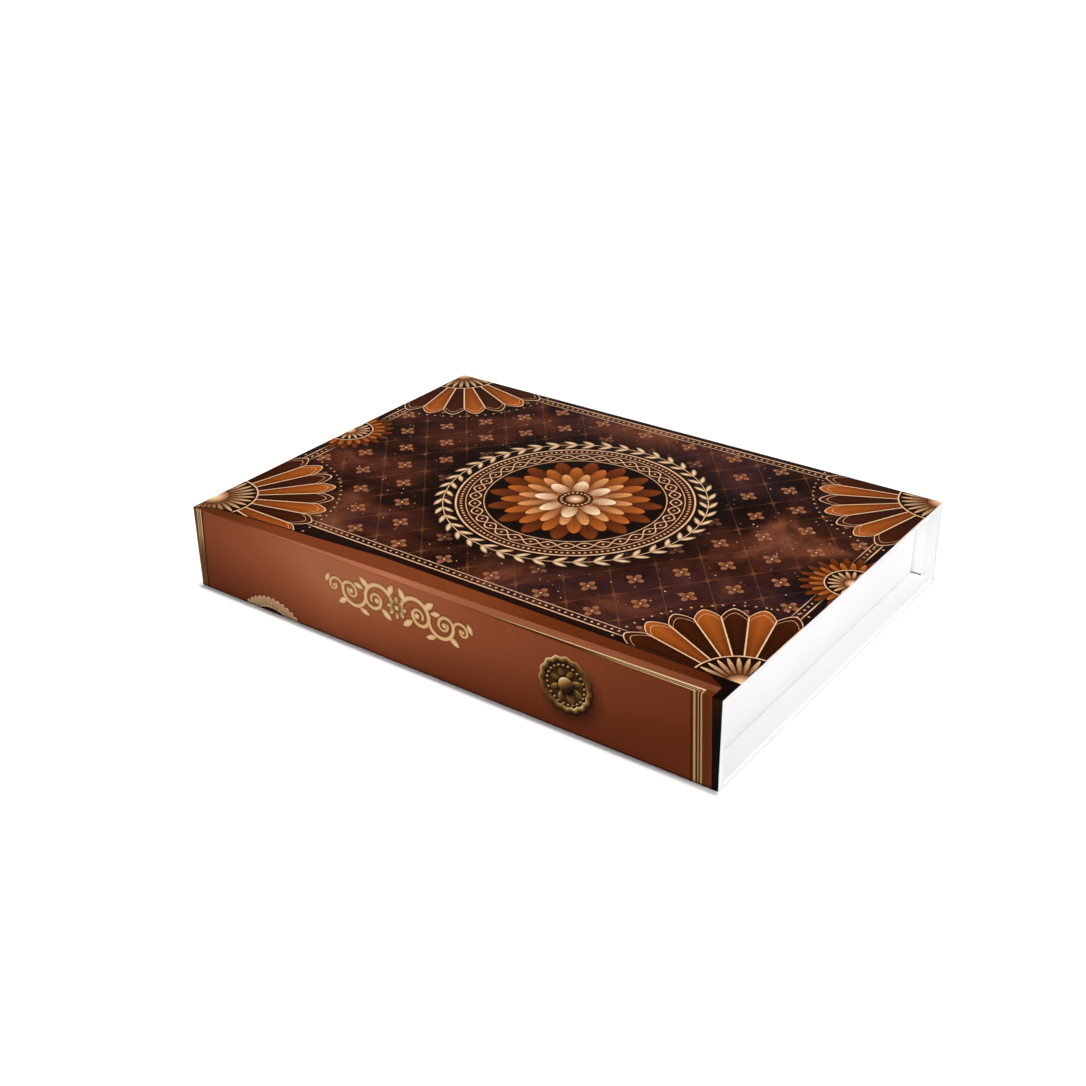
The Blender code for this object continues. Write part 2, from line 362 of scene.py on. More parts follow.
class Page:
    """The pattern on a surface: its coordinates, and the colour that is being built up on it."""

    def __init__(self, tree):
        self.tree = tree
        coordinates = tree.nodes.new("ShaderNodeTexCoord")
        self.point = coordinates.outputs["Object"]
        split = tree.nodes.new("ShaderNodeSeparateXYZ")
        tree.links.new(self.point, split.inputs[0])
        self.x, self.y, self.z = (Amount(tree, out) for out in split.outputs)
        self.colour = None

    def stretched(self, scale):
        """The surface's own point, scaled for a grain that runs one way."""
        node = self.tree.nodes.new("ShaderNodeMapping")
        node.inputs["Scale"].default_value = scale
        self.tree.links.new(self.point, node.inputs["Vector"])
        return node.outputs["Vector"]

    def noise(self, scale, detail=2.0, roughness=0.5, distortion=0.0, point=None):
        node = self.tree.nodes.new("ShaderNodeTexNoise")
        node.inputs["Scale"].default_value = scale
        node.inputs["Detail"].default_value = detail
        node.inputs["Roughness"].default_value = roughness
        node.inputs["Distortion"].default_value = distortion
        self.tree.links.new(point or self.point, node.inputs["Vector"])
        return Amount(self.tree, node.outputs["Fac"])

    def grains(self, scale):
        """The distance from the nearest of many scattered points, and that point's own number."""
        node = self.tree.nodes.new("ShaderNodeTexVoronoi")
        node.inputs["Scale"].default_value = scale
        self.tree.links.new(self.point, node.inputs["Vector"])
        split = self.tree.nodes.new("ShaderNodeSeparateColor")
        self.tree.links.new(node.outputs["Color"], split.inputs[0])
        return Amount(self.tree, node.outputs["Distance"]), Amount(self.tree, split.outputs[0])

    def tones(self, amount, *stops):
        """A colour that runs through the stops, each (place from 0 to 1, colour), as amount grows."""
        node = self.tree.nodes.new("ShaderNodeValToRGB")
        elements = node.color_ramp.elements
        while len(elements) < len(stops):
            elements.new(1.0)
        for element, (place, colour) in zip(elements, stops):
            element.position = place
            element.color = colour
        self.tree.links.new(amount.socket, node.inputs["Fac"])
        return node.outputs["Color"]

    def put(self, item, place):
        """Gives a socket its value: a number, a plain colour or another socket."""
        if isinstance(item, Amount):
            self.tree.links.new(item.socket, place)
        elif isinstance(item, bpy.types.NodeSocket):
            self.tree.links.new(item, place)
        else:
            place.default_value = item

    def lay(self, mask, colour):
        """Lays a colour over what is there, where mask is 1."""
        if self.colour is None:
            self.colour = colour
            return
        node = self.tree.nodes.new("ShaderNodeMix")
        node.data_type = "RGBA"
        self.put(mask, node.inputs["Factor"])
        self.put(self.colour, node.inputs[MIX_FIRST])
        self.put(colour, node.inputs[MIX_SECOND])
        self.colour = node.outputs[MIX_RESULT]


class PrintLayer(Page):
    """One printed layer, with the ornaments that are drawn on it."""

    def gilt(self, height, tones=GILT_TONES):
        """Printed gilding: dark where height is 0, light where it is 1, with a fine glitter."""
        return self.tones((height * 0.75 + self.glitter * 0.45 + 0.12).limited(), *tones)

    def halo(self, past, reach, blur, depth, colour=BLACK_BROWN):
        """Darkens softly where past, the distance outside an ornament, is less than reach."""
        self.lay(within(past - reach, blur) * depth, colour)

    def gild(self, height, relief=0.0006, tones=GILT_TONES):
        """Gilds what stands above zero, with a soft dark edge round it."""
        self.halo(-height, reach=0.0004, blur=0.0012, depth=0.55)
        self.lay(within(-height), self.gilt((height / relief).limited().root(), tones))

    def gilt_line(self, distance, width, where=None):
        """A rounded gilt line along distance zero."""
        line = stripe(distance, width)
        if where is not None:
            line = line & where
        self.lay(line, self.gilt((1.0 - abs(distance) * (2 / width)).limited().root()))

    def dull_line(self, distance, limits, level, where):
        """A rounded line in dull gilt, between two limits of the distance, fainter where level is low."""
        low, high = limits
        rounding = 1.0 - abs(distance - (low + high) / 2) * (2 / (high - low))
        tone = rounding.limited().root() * 0.6 * level + self.glitter * 0.2 + 0.1
        self.lay(between(distance, limits) & where, self.tones(tone.limited(), *DULL_GILT_TONES))

    def petals(self, radius, angle, count, root, reach, dark, light, turn=0.0, tip=1.7):
        """A ring of petals from root to reach. tip bends their ends from pointed (1) to round (2)."""
        aside = abs((angle * (count / math.tau) + turn).fraction() - 0.5) * 2.0
        outline = (1.0 - aside.power(tip)) * (reach - root) + root
        outward = (radius - root) / (reach - root)
        glow = (outward * 0.8 + 0.2 - aside * 0.5 + self.mottle * 0.35).limited()
        rib = within(aside - 0.07, 0.06) * within(outward - 0.7, 0.4)
        past = radius - outline
        self.halo(past, reach=0.0007, blur=0.0016, depth=0.6)
        self.lay(within(past), self.tones(glow, (0.0, dark), (1.0, light)))
        self.lay(rib * within(past) * 0.5, dark)

    def beads(self, along, across, pitch, size):
        """A row of round gilt beads along a line where across is zero."""
        place = (along / pitch).fraction() - 0.5
        inside = size - span(place * pitch, across)
        self.lay(within(-inside), self.gilt((inside / size).limited().root()))

    def ring_beads(self, radius, angle, ring, count, size):
        """A round row of count beads at the distance ring from the middle."""
        self.beads(angle * ring, radius - ring, math.tau * ring / count, size)

    def button(self, radius, size):
        """A small gilt dome."""
        self.gild(size - radius, relief=size)


class Finish(Page):
    """One Principled material."""

    def __init__(self, name, roughness, specular=0.5, metallic=0.0):
        self.material = bpy.data.materials.new(name)
        self.material.use_nodes = True
        super().__init__(self.material.node_tree)
        self.shader = self.tree.nodes["Principled BSDF"]
        self.shader.inputs["Roughness"].default_value = roughness
        self.shader.inputs["Specular IOR Level"].default_value = specular
        self.shader.inputs["Metallic"].default_value = metallic

    def relief(self, height, distance, strength=1.0):
        """Bumps the surface by height, a number that is worth distance metres where it is 1."""
        node = self.tree.nodes.new("ShaderNodeBump")
        node.inputs["Strength"].default_value = strength
        node.inputs["Distance"].default_value = distance
        self.tree.links.new(height.socket, node.inputs["Height"])
        self.tree.links.new(node.outputs["Normal"], self.shader.inputs["Normal"])

    def done(self):
        """Hands the colour to the shader, and gives the material."""
        self.put(self.colour, self.shader.inputs["Base Color"])
        return self.material


class Print(Finish):
    """A printed sheet under a satin film, printed one layer over another."""

    def __init__(self, name, *layers, brightness=1.0):
        super().__init__(name, roughness=0.40, specular=0.02)
        self.glitter = self.noise(2400, detail=1.0) - 0.5
        self.mottle = self.noise(420, detail=3.0, roughness=0.6) - 0.5
        self.relief(self.noise(1500), distance=0.00002, strength=0.5)
        for draw in layers:
            self.print_layer(draw)
        node = self.tree.nodes.new("ShaderNodeHueSaturation")
        node.inputs["Value"].default_value = brightness
        self.put(self.colour, node.inputs["Color"])
        self.colour = node.outputs["Color"]

    def print_layer(self, draw):
        """Prints one more layer over the colour so far. Each layer is a node group of its own."""
        group = bpy.data.node_groups.new(draw.__name__, "ShaderNodeTree")
        for socket, way, kind in (
            ("Colour", "INPUT", "NodeSocketColor"),
            ("Glitter", "INPUT", "NodeSocketFloat"),
            ("Mottle", "INPUT", "NodeSocketFloat"),
            ("Colour", "OUTPUT", "NodeSocketColor"),
        ):
            group.interface.new_socket(socket, in_out=way, socket_type=kind)
        given = group.nodes.new("NodeGroupInput").outputs
        page = PrintLayer(group)
        page.colour = given["Colour"]
        page.glitter = Amount(group, given["Glitter"])
        page.mottle = Amount(group, given["Mottle"])
        draw(page)
        page.put(page.colour, group.nodes.new("NodeGroupOutput").inputs["Colour"])
        node = self.tree.nodes.new("ShaderNodeGroup")
        node.node_tree = group
        if self.colour is not None:
            self.put(self.colour, node.inputs["Colour"])
        self.put(self.glitter, node.inputs["Glitter"])
        self.put(self.mottle, node.inputs["Mottle"])
        self.colour = node.outputs["Colour"]


def panel_brown(page, x, rise):
    """The brown of the panel: lightest at the fold left of the middle, darker to both ends and down."""
    leftward = (x - LIGHTEST_X) * (-1 / DARKENS_LEFT)
    rightward = (x - LIGHTEST_X) * (1 / DARKENS_RIGHT)
    down = (rise & 0.0) * (1 / DARKENS_DOWN)
    cloud = page.noise(9, detail=3.0, roughness=0.55) - 0.5
    shade = (leftward | rightward) + down * down - 0.08 + cloud * 0.20 + page.mottle * 0.05
    return page.tones(shade.limited(), *PANEL_TONES)


def from_right(x, rise):
    """How far inside the moulding's right edge a point is. Down the flap the edge spreads outwards."""
    return FRAME_RIGHT - x - (rise & 0.0) * FRAME_SPREAD_RIGHT


def moulding_top(x):
    """How far above the fold the moulding's top edge lies."""
    return ((x - FRAME_RIGHT) * FRAME_TOP_SLOPE + FRAME_TOP_RIGHT) | FRAME_TOP_LEFT


def lay_right_moulding(page, x, rise):
    """The gilt moulding at the panel's right end, and along the fold, where it fades out leftwards."""
    top = moulding_top(x)
    right = from_right(x, rise)
    depth = (top - rise) / (top + FRAME_TOP_BELOW)
    above = ((depth | 0.0).power(FRAME_TOP_BEVEL) + (depth & 0.0)) * INNER_GILT[1]
    inward = right & above
    on_top = within(above - right)
    gilded = ramp(x, *GILT_FADE)
    inner_gilded = ramp(x, *INNER_FADE)
    page.lay(between(inward, INNER_SHADE, blur=0.0005) * (0.9 - on_top * 0.4), ink(42, 13, 2))
    page.lay(stripe(inward + 0.0003, width=0.0005) * on_top * gilded * 0.5, ink(60, 26, 8))
    page.lay(within(-inward) & within(inward - INNER_GILT[1]) & gilded, ink(68, 33, 8))
    page.dull_line(inward, OUTER_GILT, on_top * 0.95 + 1.45, gilded)
    for limits in (MIDDLE_GILT, INNER_GILT):
        page.dull_line(inward, limits, on_top * 0.35 + 1.45, inner_gilded)


def lay_left_moulding(page, x, rise):
    """The gilt moulding at the panel's left end, which grows dull towards its foot."""
    left = (x - FRAME_LEFT - (rise & 0.0) * FRAME_SPREAD_LEFT) / FRAME_SHARE_LEFT
    on_flap = within(rise)
    shine = ramp(rise, *LEFT_SHINE)
    page.lay(within(left) & on_flap, ink(106, 56, 30))
    page.lay(between(left, LEFT_SHADE) & on_flap, ink(40, 12, 0))
    fill = page.tones(shine, (0.0, ink(84, 50, 22)), (1.0, ink(132, 100, 46)))
    page.lay(between(left, (0.0, INNER_GILT[1])) & on_flap, fill)
    for limits in (OUTER_GILT, MIDDLE_GILT, INNER_GILT):
        page.dull_line(left, limits, shine * 1.45 + 0.30, on_flap)


def lay_rail(page, x, rise):
    """The bevelled rail above the moulding: light next to it, then deep."""
    along = (x / (HALF_LENGTH * 2) + 0.5 + page.mottle * 0.03).limited()
    knee_x, knee_rise = RAIL_KNEE
    steep, shallow = RAIL_SLOPES
    past_knee = x - knee_x
    slope = (past_knee * steep) & (past_knee * shallow)
    rail_top = (slope + knee_rise) | RAIL_NARROWEST
    page.lay(within(-rise), page.tones(along, *DEEP_TONES))
    on_rail = within(rise - rail_top, RAIL_BLUR) & within(moulding_top(x) - rise)
    page.lay(on_rail, page.tones(along, *RAIL_TONES))
    page.lay(stripe(rise - rail_top, RAIL_LINE, RAIL_BLUR) * 0.5, ink(60, 22, 6))


def lay_rail_end(page, x, rise):
    """The rail's upright end, its mitred corner on the lid, and the dark beyond both."""
    right = from_right(x, rise)
    end = page.tones((right / -END_BAND).limited(), *END_TONES)
    page.lay(within(right) & within(rise - moulding_top(x)), end)
    page.lay(between(right, END_LINE, END_LINE_BLUR) * within(rise) * 0.5, ink(122, 62, 34))
    corner_x, corner_rise = MITRE_CORNER
    mitred = corner_x - x - ((rise - corner_rise) | 0.0) * MITRE_SLOPE
    past_end = within(right + END_BAND, RAIL_BLUR) & within(rise, RAIL_BLUR)
    past_mitre = within(mitred, MITRE_BLUR) & within(-rise)
    outside = past_end | past_mitre
    down = (rise & 0.0) / -DARKNESS_DEPTH
    page.lay(outside, page.tones(down.limited(), (0.0, ink(46, 21, 7)), (1.0, ink(13, 7, 4))))
    page.lay(outside & within(-rise), BLACK_BROWN)


def lay_panel(page, x, rise):
    """The brown panel across the fold. rise is the distance up from the fold, negative on the flap."""
    page.lay(1.0, panel_brown(page, x, rise))
    lay_rail(page, x, rise)
    lay_rail_end(page, x, rise)
    lay_right_moulding(page, x, rise)
    lay_left_moulding(page, x, rise)


def dusk(page):
    """The lid's ground: an aubergine dusk with soft clouds."""
    cloud = page.noise(15, detail=4.0, roughness=0.62, distortion=0.5)
    page.lay(1.0, page.tones(
        cloud + page.mottle * 0.10,
        (0.30, ink(11, 4, 2)),
        (0.44, ink(35, 14, 8)),
        (0.58, ink(72, 34, 21)),
        (0.74, ink(122, 68, 46)),
    ))
    chill = page.noise(8, distortion=0.2, point=page.stretched((1.0, 1.4, 1.0)))
    page.lay(ramp(chill, 0.52, 0.68) * 0.45, ink(30, 23, 34))


def lattice(page):
    """A lattice of fine lines in the ground, with a floret in each of its cells."""
    x = page.x
    y = page.y - FIELD_MIDDLE
    across = (x * (math.tau / LATTICE_WIDTH)).cosine()
    along = (y * (math.tau / LATTICE_DEPTH)).cosine()
    page.lay(stripe(across + along, width=0.055, blur=0.05) * 0.55, ink(132, 78, 44))
    for shift in (0.0, 0.5):
        cell_x = ((x / LATTICE_WIDTH + shift).fraction() - 0.5) * LATTICE_WIDTH
        cell_y = ((y / LATTICE_DEPTH + shift).fraction() - 0.5) * LATTICE_DEPTH
        radius = span(cell_x, cell_y)
        lobes = abs((bearing(cell_x, cell_y) * 2.0).cosine())
        petal = (lobes * 0.66 + 0.34) * FLORET_REACH - radius
        glow = (radius / FLORET_REACH + page.mottle * 0.4).limited()
        page.lay(within(-petal) * 0.85, page.tones(glow, (0.0, ink(72, 33, 18)), (1.0, ink(176, 110, 72))))
        page.button(radius, size=0.0010)


def gold_dust(page):
    """Scattered gold dust."""
    for scale, size, share in ((330, 0.12, 0.80), (150, 0.07, 0.50)):
        distance, number = page.grains(scale)
        page.lay(within(distance - size, blur=0.05) * ramp(number, share, 1.0), ink(244, 214, 168))


def border(page):
    """Two gilt lines with a row of beads between them, along the edges of the ground."""
    margin, outer_line, bead_row, inner_line = 0.0045, 0.0050, 0.0077, 0.0102
    inset = HALF_LENGTH - abs(page.x)
    depth = FIELD_HALF - abs(page.y - FIELD_MIDDLE)
    edge = inset & depth
    page.lay(within(edge - margin), ink(30, 12, 7))
    page.gilt_line(edge - outer_line, width=0.0011)
    page.gilt_line(edge - inner_line, width=0.0007)
    beside = within(inset - depth)
    along = page.x * (1.0 - beside) + page.y * beside
    page.beads(along, edge - bead_row, pitch=0.0040, size=0.0009)


def side_rosettes(page):
    """Half rosettes at the two ends of the ground."""
    inset = HALF_LENGTH - abs(page.x)
    aside = page.y - FIELD_MIDDLE
    radius = span(inset, aside)
    angle = bearing(inset, aside)
    page.halo(radius - SIDE_ROSETTE, reach=0.002, blur=0.008, depth=0.8)
    for root, reach, turn, dark, light in (
        (0.016, SIDE_ROSETTE, 0.0, ink(48, 18, 6), ink(118, 54, 18)),
        (0.012, 0.0225, 0.5, ink(100, 44, 10), ink(184, 100, 38)),
    ):
        page.petals(radius, angle, 22, root, reach, dark, light, turn, tip=1.9)
    page.lay(within(radius - SIDE_HEART), ink(28, 10, 5))
    page.gilt_line(radius - SIDE_HEART, width=0.0010)
    dark, light = ink(110, 62, 32), ink(232, 184, 132)
    page.petals(radius, angle, count=18, root=0.005, reach=0.0130, dark=dark, light=light)
    page.button(radius, size=0.0046)


def corner_fans(page):
    """Quarter fans of caramel and chocolate blades in the four corners of the ground."""
    inset = HALF_LENGTH - abs(page.x)
    depth = FIELD_HALF - abs(page.y - FIELD_MIDDLE)
    radius = span(inset, depth)
    angle = bearing(inset, depth)
    turns = angle * (FAN_BLADES / (math.pi / 2))
    aside = abs(turns.fraction() - 0.5) * 2.0
    odd = (turns.whole() * 0.5).fraction() * 2.0
    past = radius - (1.0 - aside.power(1.6)) * FAN_SCALLOP - FAN_RADIUS + FAN_SCALLOP
    inside = within(past)
    page.halo(past, reach=0.003, blur=0.009, depth=0.8)
    glow = (radius / FAN_RADIUS * 0.95 - aside * 0.40 + page.mottle * 0.35).limited()
    page.lay(inside, page.tones(glow, (0.0, ink(28, 9, 2)), (1.0, ink(70, 27, 6))))
    page.lay(inside & odd, page.tones(glow, (0.0, ink(84, 33, 5)), (1.0, ink(170, 86, 26))))
    page.gilt_line(past + 0.0042, width=0.0005, where=inside)
    page.gilt_line(past, width=0.0012)
    side = (1.0 - aside) * radius * (math.pi / 4 / FAN_BLADES)
    page.gilt_line(side, width=0.0012, where=inside)
    page.ring_beads(radius, angle, ring=FAN_RADIUS + 0.0034, count=4 * 21, size=0.0008)
    page.lay(within(radius - FAN_HEART), ink(28, 10, 5))
    page.gilt_line(radius - FAN_HEART, width=0.0012)
    dark, light = ink(96, 52, 26), ink(224, 176, 126)
    page.petals(radius, angle, count=28, root=0.010, reach=0.0235, dark=dark, light=light)
    page.button(radius, size=0.0090)


def wreath(page):
    """A ring of slanted leaves in pairs along a stem, on a dark ground."""
    y = page.y - FIELD_MIDDLE
    radius = span(page.x, y)
    angle = bearing(page.x, y)
    page.halo(radius - MEDALLION_RADIUS, reach=0.004, blur=0.016, depth=0.85, colour=ink(12, 6, 5))
    ring, count, off_stem = 0.0765, 44, 0.0026
    half_length, half_width, lean = 0.0052, 0.0017, math.radians(32)
    along = ((angle * (count / math.tau)).fraction() - 0.5) * (math.tau * ring / count)
    aside = abs(radius - ring) - off_stem
    length = along * math.cos(lean) + aside * math.sin(lean)
    across = aside * math.cos(lean) - along * math.sin(lean)
    blade = (1.0 - (length / half_length).power(2.0)) * half_width - abs(across)
    page.halo(-blade, reach=0.0006, blur=0.0018, depth=0.7)
    glow = (blade / 0.0016 + page.mottle * 0.6 + 0.1).limited()
    leaf_gold = page.tones(glow, (0.0, ink(80, 44, 22)), (1.0, ink(236, 196, 152)))
    page.lay(within(-blade, blur=0.0002), leaf_gold)
    page.gilt_line(radius - ring, width=0.0007)


def braided_ring(page):
    """A beaded and braided ring round the rosette."""
    y = page.y - FIELD_MIDDLE
    radius = span(page.x, y)
    angle = bearing(page.x, y)
    outer, middle, braid, inner = 0.0690, 0.0632, 0.0580, 0.0528
    waves = 18
    page.lay(within(radius - outer), ink(52, 19, 6))
    page.gilt_line(radius - outer, width=0.0015)
    page.ring_beads(radius, angle, ring=0.0660, count=132, size=0.0010)
    page.gilt_line(radius - middle, width=0.0007)
    wave = (angle * waves).cosine() * 0.0032
    page.ring_beads(radius, angle + math.pi / (2 * waves), ring=braid, count=2 * waves, size=0.0010)
    page.gilt_line(radius - braid - wave, width=0.0012)
    page.gilt_line(radius - braid + wave, width=0.0012)
    page.gilt_line(radius - inner, width=0.0007)


def rosette(page):
    """The rosette in the middle of the lid, four rings of petals round a button."""
    y = page.y - FIELD_MIDDLE
    radius = span(page.x, y)
    angle = bearing(page.x, y)
    page.lay(within(radius - 0.0520), ink(20, 8, 4))
    for count, root, reach, turn, tip, dark, light in (
        (16, 0.028, 0.0508, 0.5, 2.0, ink(44, 15, 4), ink(120, 54, 18)),
        (16, 0.022, 0.0430, 0.0, 2.0, ink(90, 38, 9), ink(182, 96, 36)),
        (16, 0.016, 0.0335, 0.5, 2.0, ink(120, 62, 24), ink(222, 152, 92)),
        (8, 0.010, 0.0240, 0.0, 1.8, ink(152, 98, 58), ink(248, 216, 178)),
    ):
        page.petals(radius, angle, count, root, reach, dark, light, turn, tip)
    page.lay(within(radius - 0.0104), ink(58, 22, 8))
    page.ring_beads(radius, angle, ring=0.0082, count=20, size=0.0010)
    page.button(radius, size=0.0058)


def lid_front_band(page):
    """The panel's upper part, which lies on the lid in front of the ornament."""
    rise = page.y - FRONT
    ornament = page.colour
    lay_panel(page, page.x, rise)
    band = page.colour
    page.colour = ornament
    from_left = page.x + HALF_LENGTH
    steep, shallow = BAND_SLOPES
    band_top = (from_left * steep) & (from_left * shallow + BAND_LEFT_RISE) & FOLD_BAND
    page.lay(within(rise - band_top), band)
    page.lay(stripe(rise - band_top, BAND_LINE), BLACK_BROWN)


def half_ring(x, z, centre, radius, side, width):
    """How far inside a half ring a point is. The ring lies above the axis (side 1) or below it (-1)."""
    return (width / 2 - abs(span(x - centre, z) - radius)) & (z * side + width)


def leaf(x, z, place_x, place_z, turn, length, width):
    """How far inside a slender leaf a point is."""
    lean = math.radians(turn)
    across_x = x - place_x
    across_z = z - place_z
    along = across_x * math.cos(lean) + across_z * math.sin(lean)
    aside = across_z * math.cos(lean) - across_x * math.sin(lean)
    return (1.0 - (along * (2 / length)).power(2.0)) * (width / 2) - abs(aside)


def lay_scroll(page, x, z):
    """A symmetrical gilt scroll of half rings, leaves and buds round a small flower."""
    side = abs(x)
    # Each half ring's centre and radius, the side of the axis it lies on, and its width
    strokes = (
        (0.0125, 0.0095, 1, 0.0027),
        (0.0165, 0.0055, -1, 0.0023),
        (0.0145, 0.0035, 1, 0.0018),
        (0.0302, 0.0082, -1, 0.0024),
        (0.0335, 0.0049, 1, 0.0020),
        (0.0317, 0.0031, -1, 0.0016),
        (0.0430, 0.0046, 1, 0.0018),
        (0.0452, 0.0024, -1, 0.0015),
    )
    height = None
    for centre, radius, above, width in strokes:
        stroke = half_ring(side, z, centre, radius, above, width)
        height = stroke if height is None else height | stroke
    # Each leaf's place, its turn in degrees, its length and its width
    sprigs = (
        (0.0040, 0.0093, 118, 0.0086, 0.0042),
        (0.0222, 0.0082, 38, 0.0092, 0.0042),
        (0.0266, 0.0050, 14, 0.0074, 0.0034),
        (0.0388, -0.0078, -34, 0.0082, 0.0038),
        (0.0074, -0.0066, -142, 0.0090, 0.0040),
        (0.0232, -0.0100, 200, 0.0076, 0.0034),
        (0.0494, 0.0034, -62, 0.0070, 0.0032),
    )
    for place_x, place_z, turn, length, width in sprigs:
        height = height | leaf(side, z, place_x, place_z, turn, length, width)
    buds = (
        (0.0139, -0.0003, 0.0018),
        (0.0323, 0.0001, 0.0016),
        (0.0446, 0.0, 0.0012),
    )
    for place_x, place_z, size in buds:
        height = height | (size - span(side - place_x, z - place_z))
    page.gild(height, relief=0.0012, tones=SCROLL_TONES)
    radius = span(x, z)
    angle = bearing(x, z)
    dark, light = ink(140, 96, 46), ink(236, 202, 140)
    page.petals(radius, angle, 8, root=0.0024, reach=0.0066, dark=dark, light=light, turn=0.5, tip=1.8)
    page.button(radius, size=0.0022)


def brass(page, slope, angle):
    """Cast brass as the printer shows it: slope is how far the surface leans outwards, from -1 to 1."""
    lit = (slope * (angle - RELIEF_LIGHT).cosine()) * 0.5 + 0.46 + page.glitter * 0.10
    return page.tones(lit.limited(), *BRASS_TONES)


def cast_boss(page):
    """A round cast boss with a soft shadow below and to the right of it."""
    x = page.x - BOSS_X
    z = page.z - BOSS_Z
    radius = span(x, z)
    angle = bearing(x, z)
    shadow = span(x - 0.0026, z + 0.0034) - BOSS_RADIUS
    page.halo(shadow, reach=0.0005, blur=0.0080, depth=0.62, colour=ink(26, 9, 4))
    scallops = (angle * 16.0).cosine() * 0.00045
    rim = BOSS_RADIUS - BOSS_RIM
    across = (radius - rim - scallops) / BOSS_RIM
    dish = page.tones((radius / rim).limited(), (0.0, ink(84, 56, 26)), (1.0, ink(20, 10, 5)))
    page.lay(within(radius - rim), dish)
    page.lay(within((abs(across) - 1.0) * BOSS_RIM), brass(page, across, angle))
    pitch = math.tau * BOSS_BEAD_RING / BOSS_BEADS
    bead = ((angle * (BOSS_BEADS / math.tau)).fraction() - 0.5) * pitch
    bead_x = radius - BOSS_BEAD_RING
    bead_radius = span(bead, bead_x)
    bead_angle = bearing(bead_x, bead) + angle
    page.lay(within(bead_radius - BOSS_BEAD), brass(page, bead_radius / BOSS_BEAD, bead_angle))
    petals = 8
    aside = (angle * (petals / math.tau)).fraction() * 2.0 - 1.0
    outline = (1.0 - abs(aside).power(2.0)) * 0.0054 + 0.0046
    tilt = (aside * (angle - RELIEF_LIGHT).sine()) * -0.42 + 0.5 + page.glitter * 0.12
    glow = (tilt - within(radius - 0.0056, blur=0.003) * 0.25).limited()
    page.halo(radius - outline, reach=0.0004, blur=0.0012, depth=0.7)
    page.lay(within(radius - outline), page.tones(glow, *BRASS_TONES))
    page.halo(radius, reach=0.0054, blur=0.0010, depth=0.8)
    page.lay(within(radius - BOSS_HUB), brass(page, radius / BOSS_HUB, angle))


def low_shell(page):
    """A low shell that rises from the panel's lower edge."""
    x = page.x - SHELL_X
    z = page.z - FLAP_LOW.z + SHELL_SUNK
    radius = span(x, z)
    turns = bearing(x, z) * (SHELL_FLUTES / math.pi)
    aside = abs(turns.fraction() - 0.5) * 2.0
    past = radius - (1.0 - aside.power(1.7)) * SHELL_SCALLOP - SHELL_RADIUS + SHELL_SCALLOP
    outward = (radius - SHELL_SUNK) / (SHELL_RADIUS - SHELL_SUNK)
    glow = (outward * 0.8 - aside * 0.4 + 0.3 + page.mottle * 0.4).limited()
    page.halo(past, reach=0.0007, blur=0.0016, depth=0.9)
    page.lay(within(past), page.tones(glow, (0.0, ink(60, 34, 20)), (1.0, ink(190, 150, 110))))
    page.gilt_line(past, width=0.0007)
    flute_edge = (1.0 - aside) * radius * (math.pi / 2 / SHELL_FLUTES)
    page.gilt_line(flute_edge, width=0.0005, where=within(past))
    heart = radius - SHELL_SUNK - SHELL_HEART
    page.lay(within(heart), ink(40, 18, 9))
    page.gilt_line(heart, width=0.0006)


def flap_panel(page):
    """The panel's lower part, which covers the flap."""
    lay_panel(page, page.x, page.z - TOP)


def flap_scroll(page):
    """The scroll on the flap, left of its middle."""
    lay_scroll(page, page.x - SCROLL_X, page.z - SCROLL_Z)


def flap_foot_painted_shade(page):
    """Painted shade: a thin dark line along the flap's lower edge, where it meets the floor."""
    page.halo(page.z - FLAP_LOW.z, reach=0.0010, blur=0.0012, depth=0.7)


def plain_brown(page):
    """The clouded brown of the spine and the underside."""
    cloud = page.noise(12, detail=4.0, roughness=0.6)
    page.lay(1.0, page.tones(cloud + page.mottle * 0.1, (0.3, ink(58, 24, 10)), (0.7, ink(112, 54, 28))))


def spine_frame(page):
    """Gilt lines round the spine, and the scroll in its middle."""
    middle = (TOP + GROUND) / 2
    edge = (HALF_LENGTH - abs(page.x)) & (middle - abs(page.z - middle))
    page.gilt_line(edge - 0.0050, width=0.0011)
    page.gilt_line(edge - 0.0070, width=0.0005)
    lay_scroll(page, page.x, page.z - middle)


def base_frame(page):
    """One gilt line round the underside."""
    middle = (BACK + BASE_LOW.y) / 2
    edge = (HALF_LENGTH - abs(page.x)) & (BACK - middle - abs(page.y - middle))
    page.gilt_line(edge - 0.0080, width=0.0010)


def paper_finish(name, dark, light, raised=None):
    """White paper with its fibres. raised gives the height of what shows through from under it."""
    page = Finish(name, roughness=0.72, specular=0.25)
    fibre = page.noise(520, detail=4.0, roughness=0.65)
    cloud = page.noise(30, detail=3.0)
    page.lay(1.0, page.tones(fibre * 0.6 + cloud * 0.4, (0.25, dark), (0.75, light)))
    page.relief(fibre + raised(page) if raised else fibre, distance=0.00006, strength=0.6)
    return page.done()


def over_magnets(page):
    """The two magnets under the flap's lining show through it as faint discs."""
    radius = span(abs(page.x) - MAGNET_X, page.z - MAGNET_Z)
    return within(radius - MAGNET_RADIUS, blur=0.0010) * 2.0


def fibre_finish(name, roughness, grain, dark, light, bump):
    """Board or paper with its fibres along one direction."""
    page = Finish(name, roughness, specular=0.2)
    fibre = page.noise(800, detail=4.0, roughness=0.7, point=page.stretched(grain))
    page.lay(1.0, page.tones(fibre, (0.3, dark), (0.7, light)))
    page.relief(fibre, bump)
    return page.done()


def metal_finish(name, roughness, dark, light):
    """Metal, brushed along one direction."""
    page = Finish(name, roughness, metallic=1.0)
    brushed = page.noise(400, detail=3.0, roughness=0.6, point=page.stretched((1.0, 1.0, 12.0)))
    page.lay(1.0, page.tones(brushed, (0.3, dark), (0.7, light)))
    page.relief(brushed, distance=0.00001, strength=0.4)
    return page.done()


